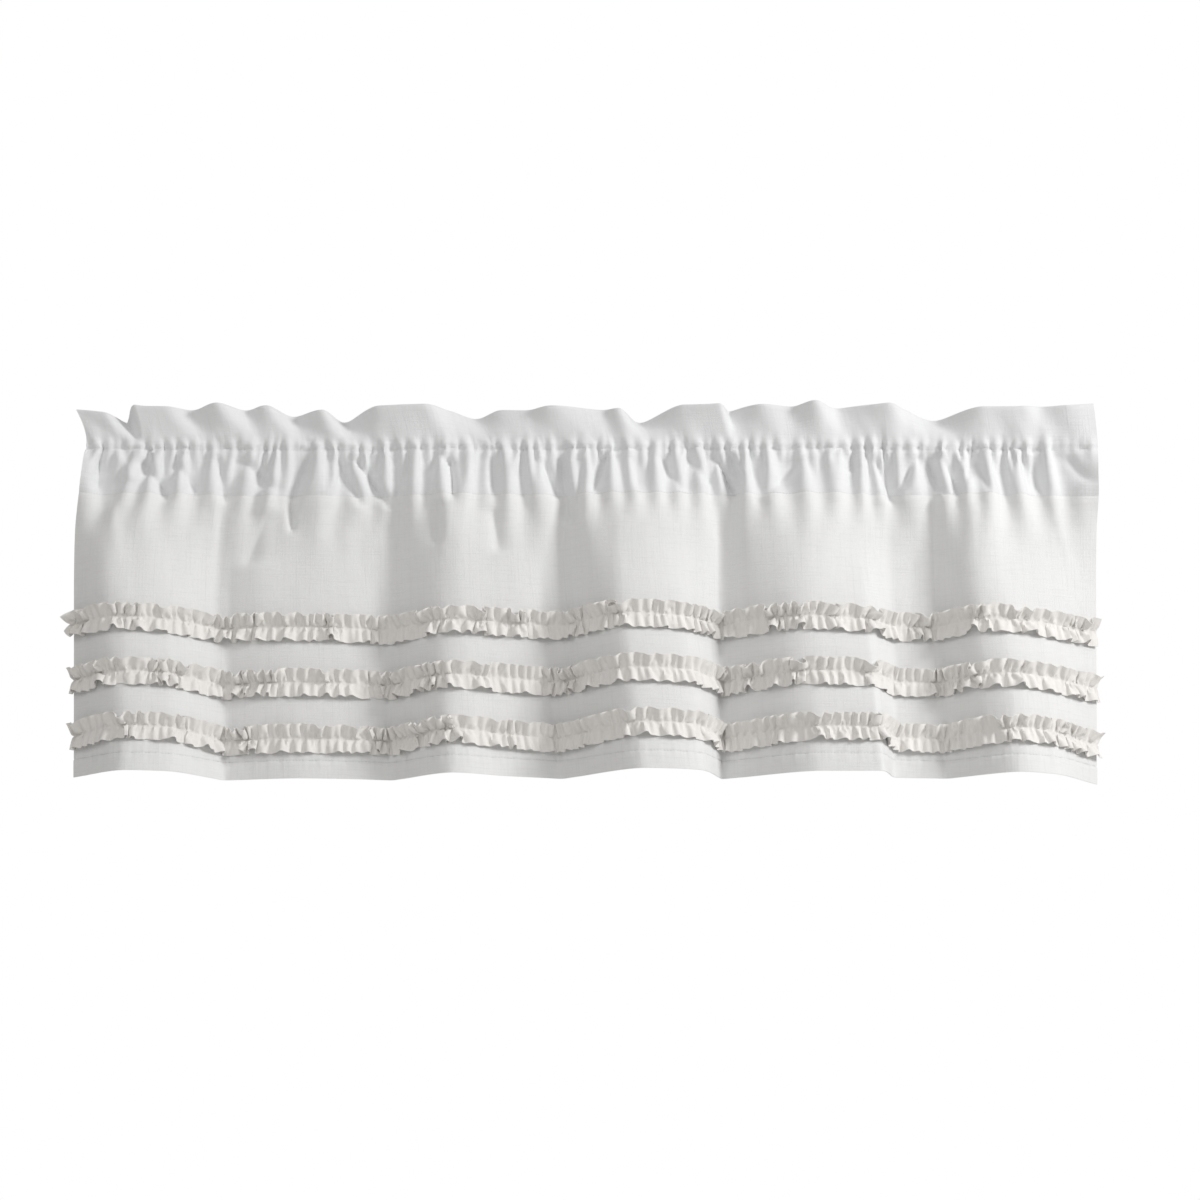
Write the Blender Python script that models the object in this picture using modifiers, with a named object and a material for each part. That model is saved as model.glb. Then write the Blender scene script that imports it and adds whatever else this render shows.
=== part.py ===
"""A gathered window valance in white linen-look cloth, in the shape in which it hangs.

The cloth is drawn up on a curtain rod. A loose frill stands above the rod pocket, the body
falls below it in soft uneven folds, and three gathered strips are stitched across the body.

Metres. X runs across the window, -Y faces the room and +Z is up. The origin is the middle
of the rod's axis, inside the pocket.
"""

from typing import NamedTuple

import bmesh
import bpy
import numpy as np

MM = 0.001

# Cloth
CLOTH_THICKNESS = 1.3 * MM
SEWN_GAP = 0.3 * MM
LAYER_OFFSET = 1.0 * MM

# Heights above the rod's axis
TOP_SEAM = 22.6 * MM
BOTTOM_SEAM = -22.6 * MM
SEAM_TAIL = 3.5 * MM
SEAM_WANDER = 1.0 * MM
HEM = -292.0 * MM
RUFFLE_HEIGHTS = {"upper": -146.0 * MM, "middle": -199.0 * MM, "lower": -252.0 * MM}

# Gathers: one flank is the cloth between a crest and the next trough
GATHER_FLANKS = 124
GATHER_DEPTH = 4.2 * MM
GATHER_SEED = 7

# How much of the body's folds shows in the pocket and at its lower seam
FOLDS_IN_POCKET = 0.12
FOLDS_AT_SEAM = 0.16

# Gathered strips
RUFFLE_HALF_HEIGHT = 13.5 * MM
RUFFLE_PAST_EDGE = 6.5 * MM
RUFFLE_CLEARANCE = 0.25 * MM
FRILL_NEAR = 2.6 * MM
FRILL_FAR = 8.2 * MM
FRILL_UNEVEN = 2.2 * MM
FRILL_CROWDING = 0.6

HIGH_FOLDS = -68.0 * MM
FORWARD_MIDDLE = 32.0
FINE_STEPS = 4000
LEAST_MITRE = 0.45


class PocketRow(NamedTuple):
    """One row of a pocket wall, with its distance from the rod's axis and its gathers."""

    height: float
    distance: float
    gathers: float


POCKET_BACK = [PocketRow(-12.0 * MM, 9.5 * MM, 0.45), PocketRow(12.0 * MM, 9.5 * MM, 0.45)]
POCKET_FRONT = [
    PocketRow(12.0 * MM, 10.0 * MM, 0.7),
    PocketRow(0.0 * MM, 12.0 * MM, 0.65),
    PocketRow(-12.0 * MM, 11.0 * MM, 0.8),
]


class BodyRow(NamedTuple):
    """One row of the body below the pocket, with its share of the folds and of the gathers."""

    height: float
    folds: float
    gathers: float


BODY_ROWS = [
    BodyRow(BOTTOM_SEAM - SEWN_GAP, FOLDS_AT_SEAM, 1.0),
    BodyRow(BOTTOM_SEAM - SEWN_GAP - SEAM_TAIL, FOLDS_AT_SEAM, 1.0),
    BodyRow(-38.0 * MM, 0.55, 0.80),
    BodyRow(-55.0 * MM, 0.90, 0.55),
    BodyRow(-82.0 * MM, 1.00, 0.35),
    BodyRow(RUFFLE_HEIGHTS["upper"], 1.00, 0.08),
    BodyRow(RUFFLE_HEIGHTS["middle"], 1.00, 0.0),
    BodyRow(RUFFLE_HEIGHTS["lower"], 1.00, 0.0),
    BodyRow(HEM, 1.00, 0.0),
]


class Fold(NamedTuple):
    """One ridge, shoulder or valley of the body, in millimetres across and towards the room."""

    name: str
    across_high: float
    forward_high: float
    across_hem: float
    forward_hem: float


FOLDS = [
    Fold("left edge", -485, 26, -481, 19),
    Fold("first ridge", -446, 46, -429, 62),
    Fold("first shoulder", -402, 35, -391, 56),
    Fold("first valley", -349, 13, -340, 2),
    Fold("low ridge", -306, 22, -270, 14),
    Fold("low shoulder", -237, 16, -223, 10),
    Fold("second valley", -202, 9, -193, 4),
    Fold("second ridge", -119, 39, -124, 48),
    Fold("second shoulder", -72, 33, -77, 28),
    Fold("third valley", -32, 23, -29, 12),
    Fold("third ridge", 30, 54, 55, 74),
    Fold("third shoulder", 79, 46, 107, 62),
    Fold("fourth valley", 128, 28, 128, 10),
    Fold("fourth ridge", 192, 52, 220, 58),
    Fold("fourth shoulder", 248, 38, 274, 58),
    Fold("fifth valley", 290, 19, 291, 18),
    Fold("fifth floor", 319, 22, 333, 16),
    Fold("fifth ridge", 367, 46, 404, 52),
    Fold("fifth shoulder", 428, 24, 437, 40),
    Fold("right edge", 484, -6, 483, -25),
]


class Lobe(NamedTuple):
    """One crest or dip of the frill's top edge, in millimetres across, to the room and up."""

    across: float
    forward: float
    height: float


LOBES = [
    Lobe(-485, 5, 59),
    Lobe(-460, 8, 55),
    Lobe(-439, -16, 50),
    Lobe(-429, 10, 63),
    Lobe(-402, 10, 62),
    Lobe(-378, -2, 60),
    Lobe(-353, 16, 65),
    Lobe(-325, -4, 61),
    Lobe(-306, 6, 64),
    Lobe(-280, -14, 56),
    Lobe(-253, 6, 58),
    Lobe(-231, -18, 50),
    Lobe(-197, 10, 63),
    Lobe(-157, 13, 64),
    Lobe(-131, -6, 60),
    Lobe(-106, -16, 54),
    Lobe(-82, -4, 60),
    Lobe(-58, 0, 59),
    Lobe(-33, 12, 62),
    Lobe(13, -2, 60),
    Lobe(29, 6, 60),
    Lobe(51, -18, 50),
    Lobe(92, 8, 64),
    Lobe(124, 14, 64),
    Lobe(135, -6, 60),
    Lobe(165, 12, 64),
    Lobe(192, 4, 63),
    Lobe(215, 18, 67),
    Lobe(239, -2, 62),
    Lobe(284, 14, 65),
    Lobe(303, -2, 60),
    Lobe(331, -17, 52),
    Lobe(376, 10, 61),
    Lobe(411, 10, 62),
    Lobe(432, 2, 63),
    Lobe(456, 8, 64),
    Lobe(480, 4, 67),
]

# The two side edges of the cloth at the seams, in millimetres across
TOP_SEAM_SPAN = (-474, 482)
POCKET_SPAN = (-479, 487)


def through(values, at):
    """Read a smooth curve that passes values at 0, 1, 2 and so on, with no overshoot."""
    values = np.asarray(values, float)
    steps = np.diff(values)
    before, after = steps[:-1], steps[1:]
    same_way = before * after > 0
    slopes = np.concatenate([[steps[0]], np.zeros(len(before)), [steps[-1]]])
    total = np.where(same_way, before + after, 1.0)
    slopes[1:-1] = np.where(same_way, 2 * before * after / total, 0.0)
    left = np.clip(np.floor(at).astype(int), 0, len(values) - 2)
    t = at - left
    step = steps[left]
    start, end = slopes[left], slopes[left + 1]
    bend = 3 * step - 2 * start - end
    twist = start + end - 2 * step
    return values[left] + t * (start + t * (bend + t * twist))


def laid_along(across, forward, shares, *others):
    """Walk the cloth's edge through a table's points, and read it at shares of its length."""
    at = np.linspace(0, len(across) - 1, FINE_STEPS)
    curves = [through(column, at) for column in (across, forward, *others)]
    steps = np.hypot(np.diff(curves[0]), np.diff(curves[1]))
    length = np.concatenate([[0], np.cumsum(steps)])
    return [np.interp(shares * length[-1], length, curve) * MM for curve in curves]


def beside(line, distance):
    """A copy of a line of points, moved by distance towards the room at right angles to it."""
    along = np.diff(line[:, :2], axis=0)
    along /= np.linalg.norm(along, axis=1)[:, None]
    normals = np.stack([along[:, 1], -along[:, 0]], axis=1)
    corner = np.concatenate([normals[:1], normals[:-1] + normals[1:], normals[-1:]])
    corner /= np.linalg.norm(corner, axis=1)[:, None]
    flank = np.concatenate([normals, normals[-1:]])
    mitre = np.maximum((corner * flank).sum(axis=1), LEAST_MITRE)
    moved = line.copy()
    moved[:, :2] += corner * (distance / mitre)[:, None]
    return moved


class Gathers:
    """The crests and troughs that the pocket's seams draw into the cloth, from side to side."""

    def __init__(self):
        random = np.random.default_rng(GATHER_SEED)
        widths = random.uniform(0.65, 1.35, GATHER_FLANKS)
        self.shares = np.concatenate([[0], np.cumsum(widths)]) / widths.sum()
        signs = np.where(np.arange(GATHER_FLANKS + 1) % 2, 1, -1)
        self.forward = signs * GATHER_DEPTH * random.uniform(0.3, 1.0, GATHER_FLANKS + 1)
        wander = random.uniform(-1, 1, GATHER_FLANKS + 1)
        self.wander = SEAM_WANDER * np.convolve(wander, np.ones(5) / 3, "same")


def points(across, forward, height):
    """A line of points from three columns; forward is towards the room."""
    height = np.broadcast_to(height, np.shape(across))
    return np.stack([across, -np.asarray(forward), height], axis=1)


def folds_at(gathers, height):
    """The body's hung folds at one height, column by column: across, and to the room."""
    high = laid_along(
        [fold.across_high for fold in FOLDS], [fold.forward_high for fold in FOLDS], gathers.shares
    )
    hem = laid_along(
        [fold.across_hem for fold in FOLDS], [fold.forward_hem for fold in FOLDS], gathers.shares
    )
    fall = np.clip((HIGH_FOLDS - height) / (HIGH_FOLDS - HEM), 0, 1)
    across = high[0] + fall * (hem[0] - high[0])
    forward = high[1] + fall * (hem[1] - high[1]) - FORWARD_MIDDLE * MM
    return across, forward


def gathered_across(gathers, span):
    """Where the columns lie along a seam: half evenly, half as they hang below it."""
    even = span[0] + gathers.shares * (span[1] - span[0])
    hung = folds_at(gathers, HIGH_FOLDS)[0] / MM
    return (even + np.interp(hung, [hung[0], hung[-1]], span)) / 2 * MM


def body_row(gathers, row):
    """One row of the body, drawn in towards the pocket's seam by as much as its folds are."""
    across, forward = folds_at(gathers, row.height)
    drawn = gathered_across(gathers, POCKET_SPAN)
    at_seam = np.interp(row.folds, [FOLDS_AT_SEAM, 1], [1, 0])
    wander = row.gathers * gathers.wander
    return points(
        across + at_seam * (drawn - across),
        row.folds * forward + row.gathers * gathers.forward,
        row.height + wander,
    )


def heading_rows(gathers):
    """The heading's cloth from its edge behind the pocket, over the frill, to the front seam."""
    across = gathered_across(gathers, POCKET_SPAN)
    ridges = FOLDS_IN_POCKET * np.maximum(folds_at(gathers, HIGH_FOLDS)[1], 0)
    seam = body_row(gathers, BODY_ROWS[0]) + np.array([0, 0, SEWN_GAP])
    tail = seam + np.array([0, 0, SEAM_TAIL])
    pinch = points(
        gathered_across(gathers, TOP_SEAM_SPAN), gathers.forward, TOP_SEAM + gathers.wander
    )
    top = points(
        *laid_along(
            [lobe.across for lobe in LOBES],
            [lobe.forward for lobe in LOBES],
            gathers.shares,
            [lobe.height for lobe in LOBES],
        )
    )
    back = [
        points(across, row.gathers * gathers.forward - row.distance, row.height)
        for row in POCKET_BACK
    ]
    front = [
        points(across, row.distance + ridges + row.gathers * gathers.forward, row.height)
        for row in POCKET_FRONT
    ]
    return [
        beside(seam, -2 * LAYER_OFFSET),
        *back,
        beside(pinch, -LAYER_OFFSET),
        beside(top, -LAYER_OFFSET),
        beside(top, LAYER_OFFSET),
        beside(pinch, LAYER_OFFSET),
        *front,
        tail,
        seam,
    ]


def panel_rows(gathers):
    """The body's cloth from the pocket's lower seam down to the hem."""
    return [body_row(gathers, row) for row in BODY_ROWS]


def body_at(gathers, height):
    """The body's faceted cloth at any height below the pocket, carried on past both edges."""
    heights = [row.height for row in BODY_ROWS]
    below = int(np.searchsorted(-np.array(heights), -height))
    part = (heights[below - 1] - height) / (heights[below - 1] - heights[below])
    rows = panel_rows(gathers)
    line = rows[below - 1] + part * (rows[below] - rows[below - 1])
    line[:, 2] = height
    ends = []
    for end, inner in ((line[0], line[1]), (line[-1], line[-2])):
        outward = (end - inner) / np.linalg.norm(end - inner)
        ends.append(end + outward * RUFFLE_PAST_EDGE)
    return np.concatenate([ends[:1], line, ends[1:]])


def room_in_valleys(line):
    """How far each point of a line can move towards the room before its neighbours cross."""
    along = np.diff(line[:, :2], axis=0)
    length = np.linalg.norm(along, axis=1)
    turn = along[:-1, 0] * along[1:, 1] - along[:-1, 1] * along[1:, 0]
    lean = (along[:-1] * along[1:]).sum(axis=1)
    half_angle = np.maximum(-np.arctan2(turn, lean) / 2, 1e-3)
    room = FRILL_CROWDING * np.minimum(length[:-1], length[1:]) / np.tan(half_angle)
    return np.concatenate([room[:1], room, room[-1:]])


def frill_edge(gathers, height, random, phase):
    """The free edge of a gathered strip, which swings out from the body and back."""
    base = body_at(gathers, height)
    count = len(base)
    out = np.where((np.arange(count) + phase) % 2, FRILL_FAR, FRILL_NEAR)
    out = out + random.uniform(0, 1, count) * FRILL_UNEVEN
    out = np.clip(out, FRILL_NEAR, np.maximum(room_in_valleys(base), FRILL_NEAR))
    edge = beside(base, out)
    edge[:, 2] += random.uniform(-1, 1, count) * FRILL_UNEVEN / 2
    return edge


def ruffle_rows(gathers, height, seed):
    """One gathered strip: its upper free edge, its stitched middle and its lower free edge."""
    random = np.random.default_rng(seed)
    stitched = CLOTH_THICKNESS + SEWN_GAP + RUFFLE_CLEARANCE
    return [
        frill_edge(gathers, height + RUFFLE_HALF_HEIGHT, random, 0),
        beside(body_at(gathers, height), stitched),
        frill_edge(gathers, height - RUFFLE_HALF_HEIGHT, random, 1),
    ]


def cloth_material(name, colour, roughness):
    """A plain cloth finish."""
    material = bpy.data.materials.new(name)
    material.use_nodes = True
    shader = material.node_tree.nodes["Principled BSDF"]
    shader.inputs["Base Color"].default_value = (*colour, 1)
    shader.inputs["Roughness"].default_value = roughness
    shader.inputs["Metallic"].default_value = 0
    return material


def sheet(name, rows, material, collection):
    """A sheet of cloth laid through rows of points, with its real thickness."""
    columns = len(rows[0]) - 1
    bands = len(rows) - 1
    work = bmesh.new()
    bmesh.ops.create_grid(work, x_segments=columns, y_segments=bands, size=0.5)
    for vertex in work.verts:
        column = round((vertex.co.x + 0.5) * columns)
        row = round((0.5 - vertex.co.y) * bands)
        vertex.co = rows[row][column]
    bmesh.ops.triangulate(work, faces=work.faces, quad_method="BEAUTY")
    mesh = bpy.data.meshes.new(name)
    work.to_mesh(mesh)
    work.free()
    mesh.shade_smooth()
    mesh.materials.append(material)
    piece = bpy.data.objects.new(name, mesh)
    collection.objects.link(piece)
    thickness = piece.modifiers.new("cloth thickness", "SOLIDIFY")
    thickness.thickness = CLOTH_THICKNESS
    thickness.offset = 0
    return piece


def main():
    """Build the valance."""
    for old in list(bpy.data.objects):
        bpy.data.objects.remove(old)
    collection = bpy.data.collections.new("window_valance")
    bpy.context.scene.collection.children.link(collection)

    gathers = Gathers()
    doubled = cloth_material("doubled white linen", (0.86, 0.87, 0.88), 0.85)
    sheet("heading", heading_rows(gathers), doubled, collection)
    single = cloth_material("single white linen", (0.83, 0.84, 0.84), 0.85)
    sheet("panel", panel_rows(gathers), single, collection)
    for seed, (place, height) in enumerate(RUFFLE_HEIGHTS.items(), start=1):
        cream = cloth_material(f"soft white {place} strip", (0.80, 0.77, 0.74), 0.9)
        sheet(f"ruffle_{place}", ruffle_rows(gathers, height, seed), cream, collection)


main()
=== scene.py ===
"""The dressed window valance: fine cloth, gathered strips, stitches, finishes, light and camera.

Lengths in the tables are millimetres: across is +X, forward is towards the room (-Y), height
is +Z above the axis of the curtain rod. Cloth is held as points in rows from the top down and
columns from left to right, each with its across, forward and height. Meshes are made in metres.
"""

from __future__ import annotations

import logging
import math
from dataclasses import dataclass, field
from enum import Enum
from functools import reduce
from typing import NamedTuple

import bpy
import numpy as np
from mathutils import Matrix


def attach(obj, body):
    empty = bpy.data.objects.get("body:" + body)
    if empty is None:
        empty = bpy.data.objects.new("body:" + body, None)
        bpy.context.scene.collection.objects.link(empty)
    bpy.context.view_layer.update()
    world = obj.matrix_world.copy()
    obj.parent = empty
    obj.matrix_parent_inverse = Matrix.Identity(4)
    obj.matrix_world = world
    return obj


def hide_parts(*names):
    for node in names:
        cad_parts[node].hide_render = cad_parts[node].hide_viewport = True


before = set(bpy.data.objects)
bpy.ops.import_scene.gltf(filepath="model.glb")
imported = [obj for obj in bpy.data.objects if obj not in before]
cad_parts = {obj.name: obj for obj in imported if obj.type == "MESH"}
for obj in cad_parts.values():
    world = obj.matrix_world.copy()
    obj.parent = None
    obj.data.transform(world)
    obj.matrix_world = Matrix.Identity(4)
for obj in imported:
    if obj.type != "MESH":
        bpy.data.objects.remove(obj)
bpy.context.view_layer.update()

log = logging.getLogger("valance")
MM = 0.001
Array = np.ndarray


class Strip(Enum):
    """The three strips: the height of each one's stitches, and which row of uneven gathers."""

    UPPER = (-146.0, 41)
    MIDDLE = (-199.0, 42)
    LOWER = (-252.0, 43)

    def __init__(self, level: float, seed: int):
        """Name the two values."""
        self.level = level
        self.seed = seed


class Fold(NamedTuple):
    """One ridge, shoulder or valley of the body, under the pocket and at the hem."""

    across_high: float
    forward_high: float
    across_hem: float
    forward_hem: float


FOLDS = (
    Fold(-485, 26, -481, 19),
    Fold(-446, 46, -429, 62),
    Fold(-402, 35, -391, 56),
    Fold(-349, 13, -340, 2),
    Fold(-306, 22, -270, 14),
    Fold(-237, 16, -223, 10),
    Fold(-190, 8, -184, 2),
    Fold(-119, 39, -124, 48),
    Fold(-72, 33, -77, 28),
    Fold(-27, 22, -24, 11),
    Fold(30, 54, 55, 74),
    Fold(79, 46, 107, 62),
    Fold(128, 28, 128, 10),
    Fold(192, 52, 220, 58),
    Fold(248, 38, 274, 58),
    Fold(290, 19, 291, 18),
    Fold(326, 17, 338, 12),
    Fold(367, 46, 404, 52),
    Fold(428, 24, 437, 40),
    Fold(484, 6, 483, -22),
)


class Lobe(NamedTuple):
    """One crest or dip of the frill's top edge."""

    across: float
    forward: float
    height: float


LOBES = (
    Lobe(-485, 5, 59),
    Lobe(-460, 8, 55),
    Lobe(-439, -16, 50),
    Lobe(-429, 10, 63),
    Lobe(-402, 10, 62),
    Lobe(-378, -2, 60),
    Lobe(-353, 16, 65),
    Lobe(-325, -4, 61),
    Lobe(-306, 6, 64),
    Lobe(-280, -14, 56),
    Lobe(-253, 6, 58),
    Lobe(-231, -18, 50),
    Lobe(-197, 10, 63),
    Lobe(-157, 13, 64),
    Lobe(-131, -6, 60),
    Lobe(-106, -16, 54),
    Lobe(-82, -4, 60),
    Lobe(-58, 0, 59),
    Lobe(-33, 12, 62),
    Lobe(13, -2, 60),
    Lobe(29, 6, 60),
    Lobe(51, -18, 50),
    Lobe(92, 8, 64),
    Lobe(124, 14, 64),
    Lobe(135, -6, 60),
    Lobe(165, 12, 64),
    Lobe(192, 4, 63),
    Lobe(215, 18, 67),
    Lobe(239, -2, 62),
    Lobe(284, 14, 65),
    Lobe(303, -2, 60),
    Lobe(331, -17, 52),
    Lobe(376, 10, 61),
    Lobe(411, 10, 62),
    Lobe(432, 2, 63),
    Lobe(456, 8, 64),
    Lobe(480, 4, 67),
)


class Crease(NamedTuple):
    """One main crease of the pocket or the body, from its upper to its lower end."""

    across_upper: float
    height_upper: float
    across_lower: float
    height_lower: float
    depth: float
    width: float


CREASES = (
    Crease(-463, 14, -463, -19, 3.0, 5),
    Crease(-446, 20, -430, -12, -3.0, 9),
    Crease(-423, 12, -393, -30, 5.0, 7),
    Crease(-388, 8, -369, -22, 3.5, 6),
    Crease(-350, 16, -343, -30, 5.0, 7),
    Crease(-328, 14, -294, -20, 4.0, 7),
    Crease(-301, -36, -322, -90, 5.0, 15),
    Crease(-281, -26, -279, -58, 4.0, 5),
    Crease(-263, 14, -282, -30, 4.0, 6),
    Crease(-237, 14, -212, -34, 5.0, 7),
    Crease(-222, 16, -186, -34, 5.5, 6),
    Crease(-139, 18, -128, 4, 3.0, 5),
    Crease(-129, 14, -126, -30, 4.5, 5),
    Crease(-141, -28, -142, -72, 4.0, 7),
    Crease(-88, -34, -83, -80, 3.5, 10),
    Crease(-91, 16, -88, -22, 3.0, 6),
    Crease(-43, 12, -27, -26, 4.0, 6),
    Crease(-25, 16, -15, -52, 5.5, 8),
    Crease(-2, 14, -12, -50, 4.0, 7),
    Crease(20, 16, 5, -24, 4.0, 6),
    Crease(43, 16, 50, -22, 3.5, 6),
    Crease(68, 18, 92, -22, 3.5, 8),
    Crease(98, 16, 117, -14, 3.0, 6),
    Crease(122, 18, 141, -26, 6.5, 5),
    Crease(136, 18, 145, -14, 3.5, 5),
    Crease(208, 14, 168, -26, 4.5, 10),
    Crease(247, 18, 254, -2, 2.5, 7),
    Crease(271, 18, 290, -30, 5.5, 6),
    Crease(313, 16, 295, -22, 4.0, 6),
    Crease(321, 16, 341, -26, 4.5, 6),
    Crease(337, 16, 353, -24, 3.5, 5),
    Crease(362, 24, 362, -10, 5.0, 5),
    Crease(372, 10, 381, -22, 3.5, 6),
    Crease(414, 14, 432, -22, 3.0, 10),
    Crease(452, 18, 478, -12, 3.0, 9),
)


def pass_through(places: Array, values: Array, at: Array) -> Array:
    """Read a smooth curve that passes each value at its place, with no overshoot.

    Args:
        places: Where the values stand, in rising order.
        values: The values to pass.
        at: Where to read the curve.

    Returns:
        The curve's values.
    """
    places, values = np.asarray(places, float), np.asarray(values, float)
    gaps = np.diff(places)
    steps = np.diff(values) / gaps
    before, after = steps[:-1], steps[1:]
    same_way = before * after > 0
    total = np.where(same_way, before + after, 1.0)
    middle = np.where(same_way, 2 * before * after / total, 0.0)
    slopes = np.concatenate([steps[:1], middle, steps[-1:]])
    left = np.clip(np.searchsorted(places, at, side="right") - 1, 0, len(gaps) - 1)
    gap = gaps[left]
    t = np.clip((at - places[left]) / gap, 0, 1)
    start, end, step = slopes[left], slopes[left + 1], steps[left]
    bend = 3 * step - 2 * start - end
    twist = start + end - 2 * step
    return values[left] + gap * t * (start + t * (bend + t * twist))


def length_along(*parts: Array) -> Array:
    """Read how far along a line each of its points is.

    Args:
        *parts: The points' coordinates, one array for each direction.

    Returns:
        The distances from the line's first point.
    """
    return np.concatenate([[0.0], reduce(np.hypot, map(np.diff, parts)).cumsum()])


def lay_along(table: tuple, columns: tuple[str, ...], shares: Array) -> list[Array]:
    """Walk a cloth's edge through a table's rows and read it at shares of its length.

    Args:
        table: The rows, whose first two named columns are across and forward.
        columns: The names of the columns to read.
        shares: Shares of the edge's length, from 0 to 1.

    Returns:
        One array for each named column.
    """
    curves = walk(table, columns)
    length = length_along(*curves[:2])
    return [np.interp(shares * length[-1], length, curve) for curve in curves]


def walk(table: tuple, columns: tuple[str, ...], steps: int = 4000) -> list[Array]:
    """Draw smooth curves through a table's rows.

    Args:
        table: The rows.
        columns: The names of the columns to read.
        steps: Points on each curve.

    Returns:
        One curve for each named column.
    """
    rows = np.arange(len(table))
    at = np.linspace(0, len(table) - 1, steps)
    return [pass_through(rows, [getattr(row, name) for row in table], at) for name in columns]


def cloth(across: Array, forward: Array, height: Array) -> Array:
    """Join across, forward and height into points, in rows and columns."""
    return np.stack(np.broadcast_arrays(across, forward, height), axis=-1)


def metres(points: Array) -> Array:
    """Turn across, forward and height into metres along X, Y and Z."""
    return points * (MM, -MM, MM)


def creased(folds: tuple[Fold, ...], share: float) -> tuple[Fold, ...]:
    """Draw each valley to a crease, by straightening the cloth on both sides of it.

    Args:
        folds: The folds in their order across.
        share: Where the straight parts end, as a share of the way from the valley.

    Returns:
        The folds, with a row more on each side of each valley.
    """
    rows = [folds[0]]
    for before, fold, after in zip(folds, folds[1:], folds[2:]):
        beside = [Fold(*(v + share * (o - v) for v, o in zip(fold, other)))
                  for other in (before, after)]
        valley = fold.forward_high < min(before.forward_high, after.forward_high)
        rows += [beside[0], fold, beside[1]] if valley else [fold]
    return (*rows, folds[-1])


def soften(values: Array, reach: int) -> Array:
    """Even out values along their last axis.

    Args:
        values: The values.
        reach: How many neighbours on each side take part.

    Returns:
        The evened values, in the same shape.
    """
    weights = np.hanning(2 * reach + 3)[1:-1]
    weights /= weights.sum()
    padded = np.pad(values, [(0, 0)] * (values.ndim - 1) + [(reach, reach)], mode="edge")
    return np.apply_along_axis(np.convolve, -1, padded, weights, "valid")


def outward(points: Array, reach: int) -> Array:
    """Directions at right angles to level rows of cloth, towards the room.

    Args:
        points: The rows' points.
        reach: How many neighbours the rows are evened over first.

    Returns:
        One direction for each point, with no height.
    """
    level = soften(np.moveaxis(points[..., :2], -1, 0), reach)
    along_x, along_f = np.gradient(level, axis=-1)
    size = np.hypot(along_x, along_f)
    return cloth(-along_f / size, along_x / size, 0.0)


@dataclass
class Pleats:
    """A row of rounded pleats of uneven width, with a crease between each two.

    Each range gives the least and the most of the mean that one pleat may have.
    """

    pitch: float
    depth: float
    reach: float
    seed: int
    lean: float = 0.3
    span: tuple[float, float] = (-650.0, 850.0)
    width_range: tuple[float, float] = (0.5, 1.5)
    height_range: tuple[float, float] = (0.4, 1.0)
    reach_range: tuple[float, float] = (0.6, 1.5)
    fading: float = 1.6
    sunk: float = 0.45

    def __post_init__(self) -> None:
        """Draw the uneven row."""
        random = np.random.default_rng(self.seed)
        count = int((self.span[1] - self.span[0]) / self.pitch)
        self.widths = random.uniform(*self.width_range, count) * self.pitch
        self.creases = np.cumsum(self.widths) - self.widths + self.span[0]
        self.heights = random.uniform(*self.height_range, count) * self.depth * self.widths
        self.reaches = random.uniform(*self.reach_range, count) * self.reach
        self.leans = soften(random.uniform(-1, 1, count) * self.lean, 1)

    def rise(self, along: Array, distance: Array) -> Array:
        """How far the pleats push the cloth out.

        Args:
            along: Places along the seam.
            distance: Distances from the seam.

        Returns:
            The push towards the room.
        """
        moved = along + np.interp(along, self.creases, self.leans) * distance
        index = np.clip(np.searchsorted(self.creases, moved) - 1, 0, len(self.widths) - 2)
        part = np.clip((moved - self.creases[index]) / self.widths[index], 0, 1)
        reach = np.interp(moved, self.creases, self.reaches)
        crest = np.sin(math.pi * part) ** 2
        fade = np.exp(-((distance / reach) ** self.fading))
        return (self.heights[index] * crest - self.sunk * self.heights.mean()) * fade


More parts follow.
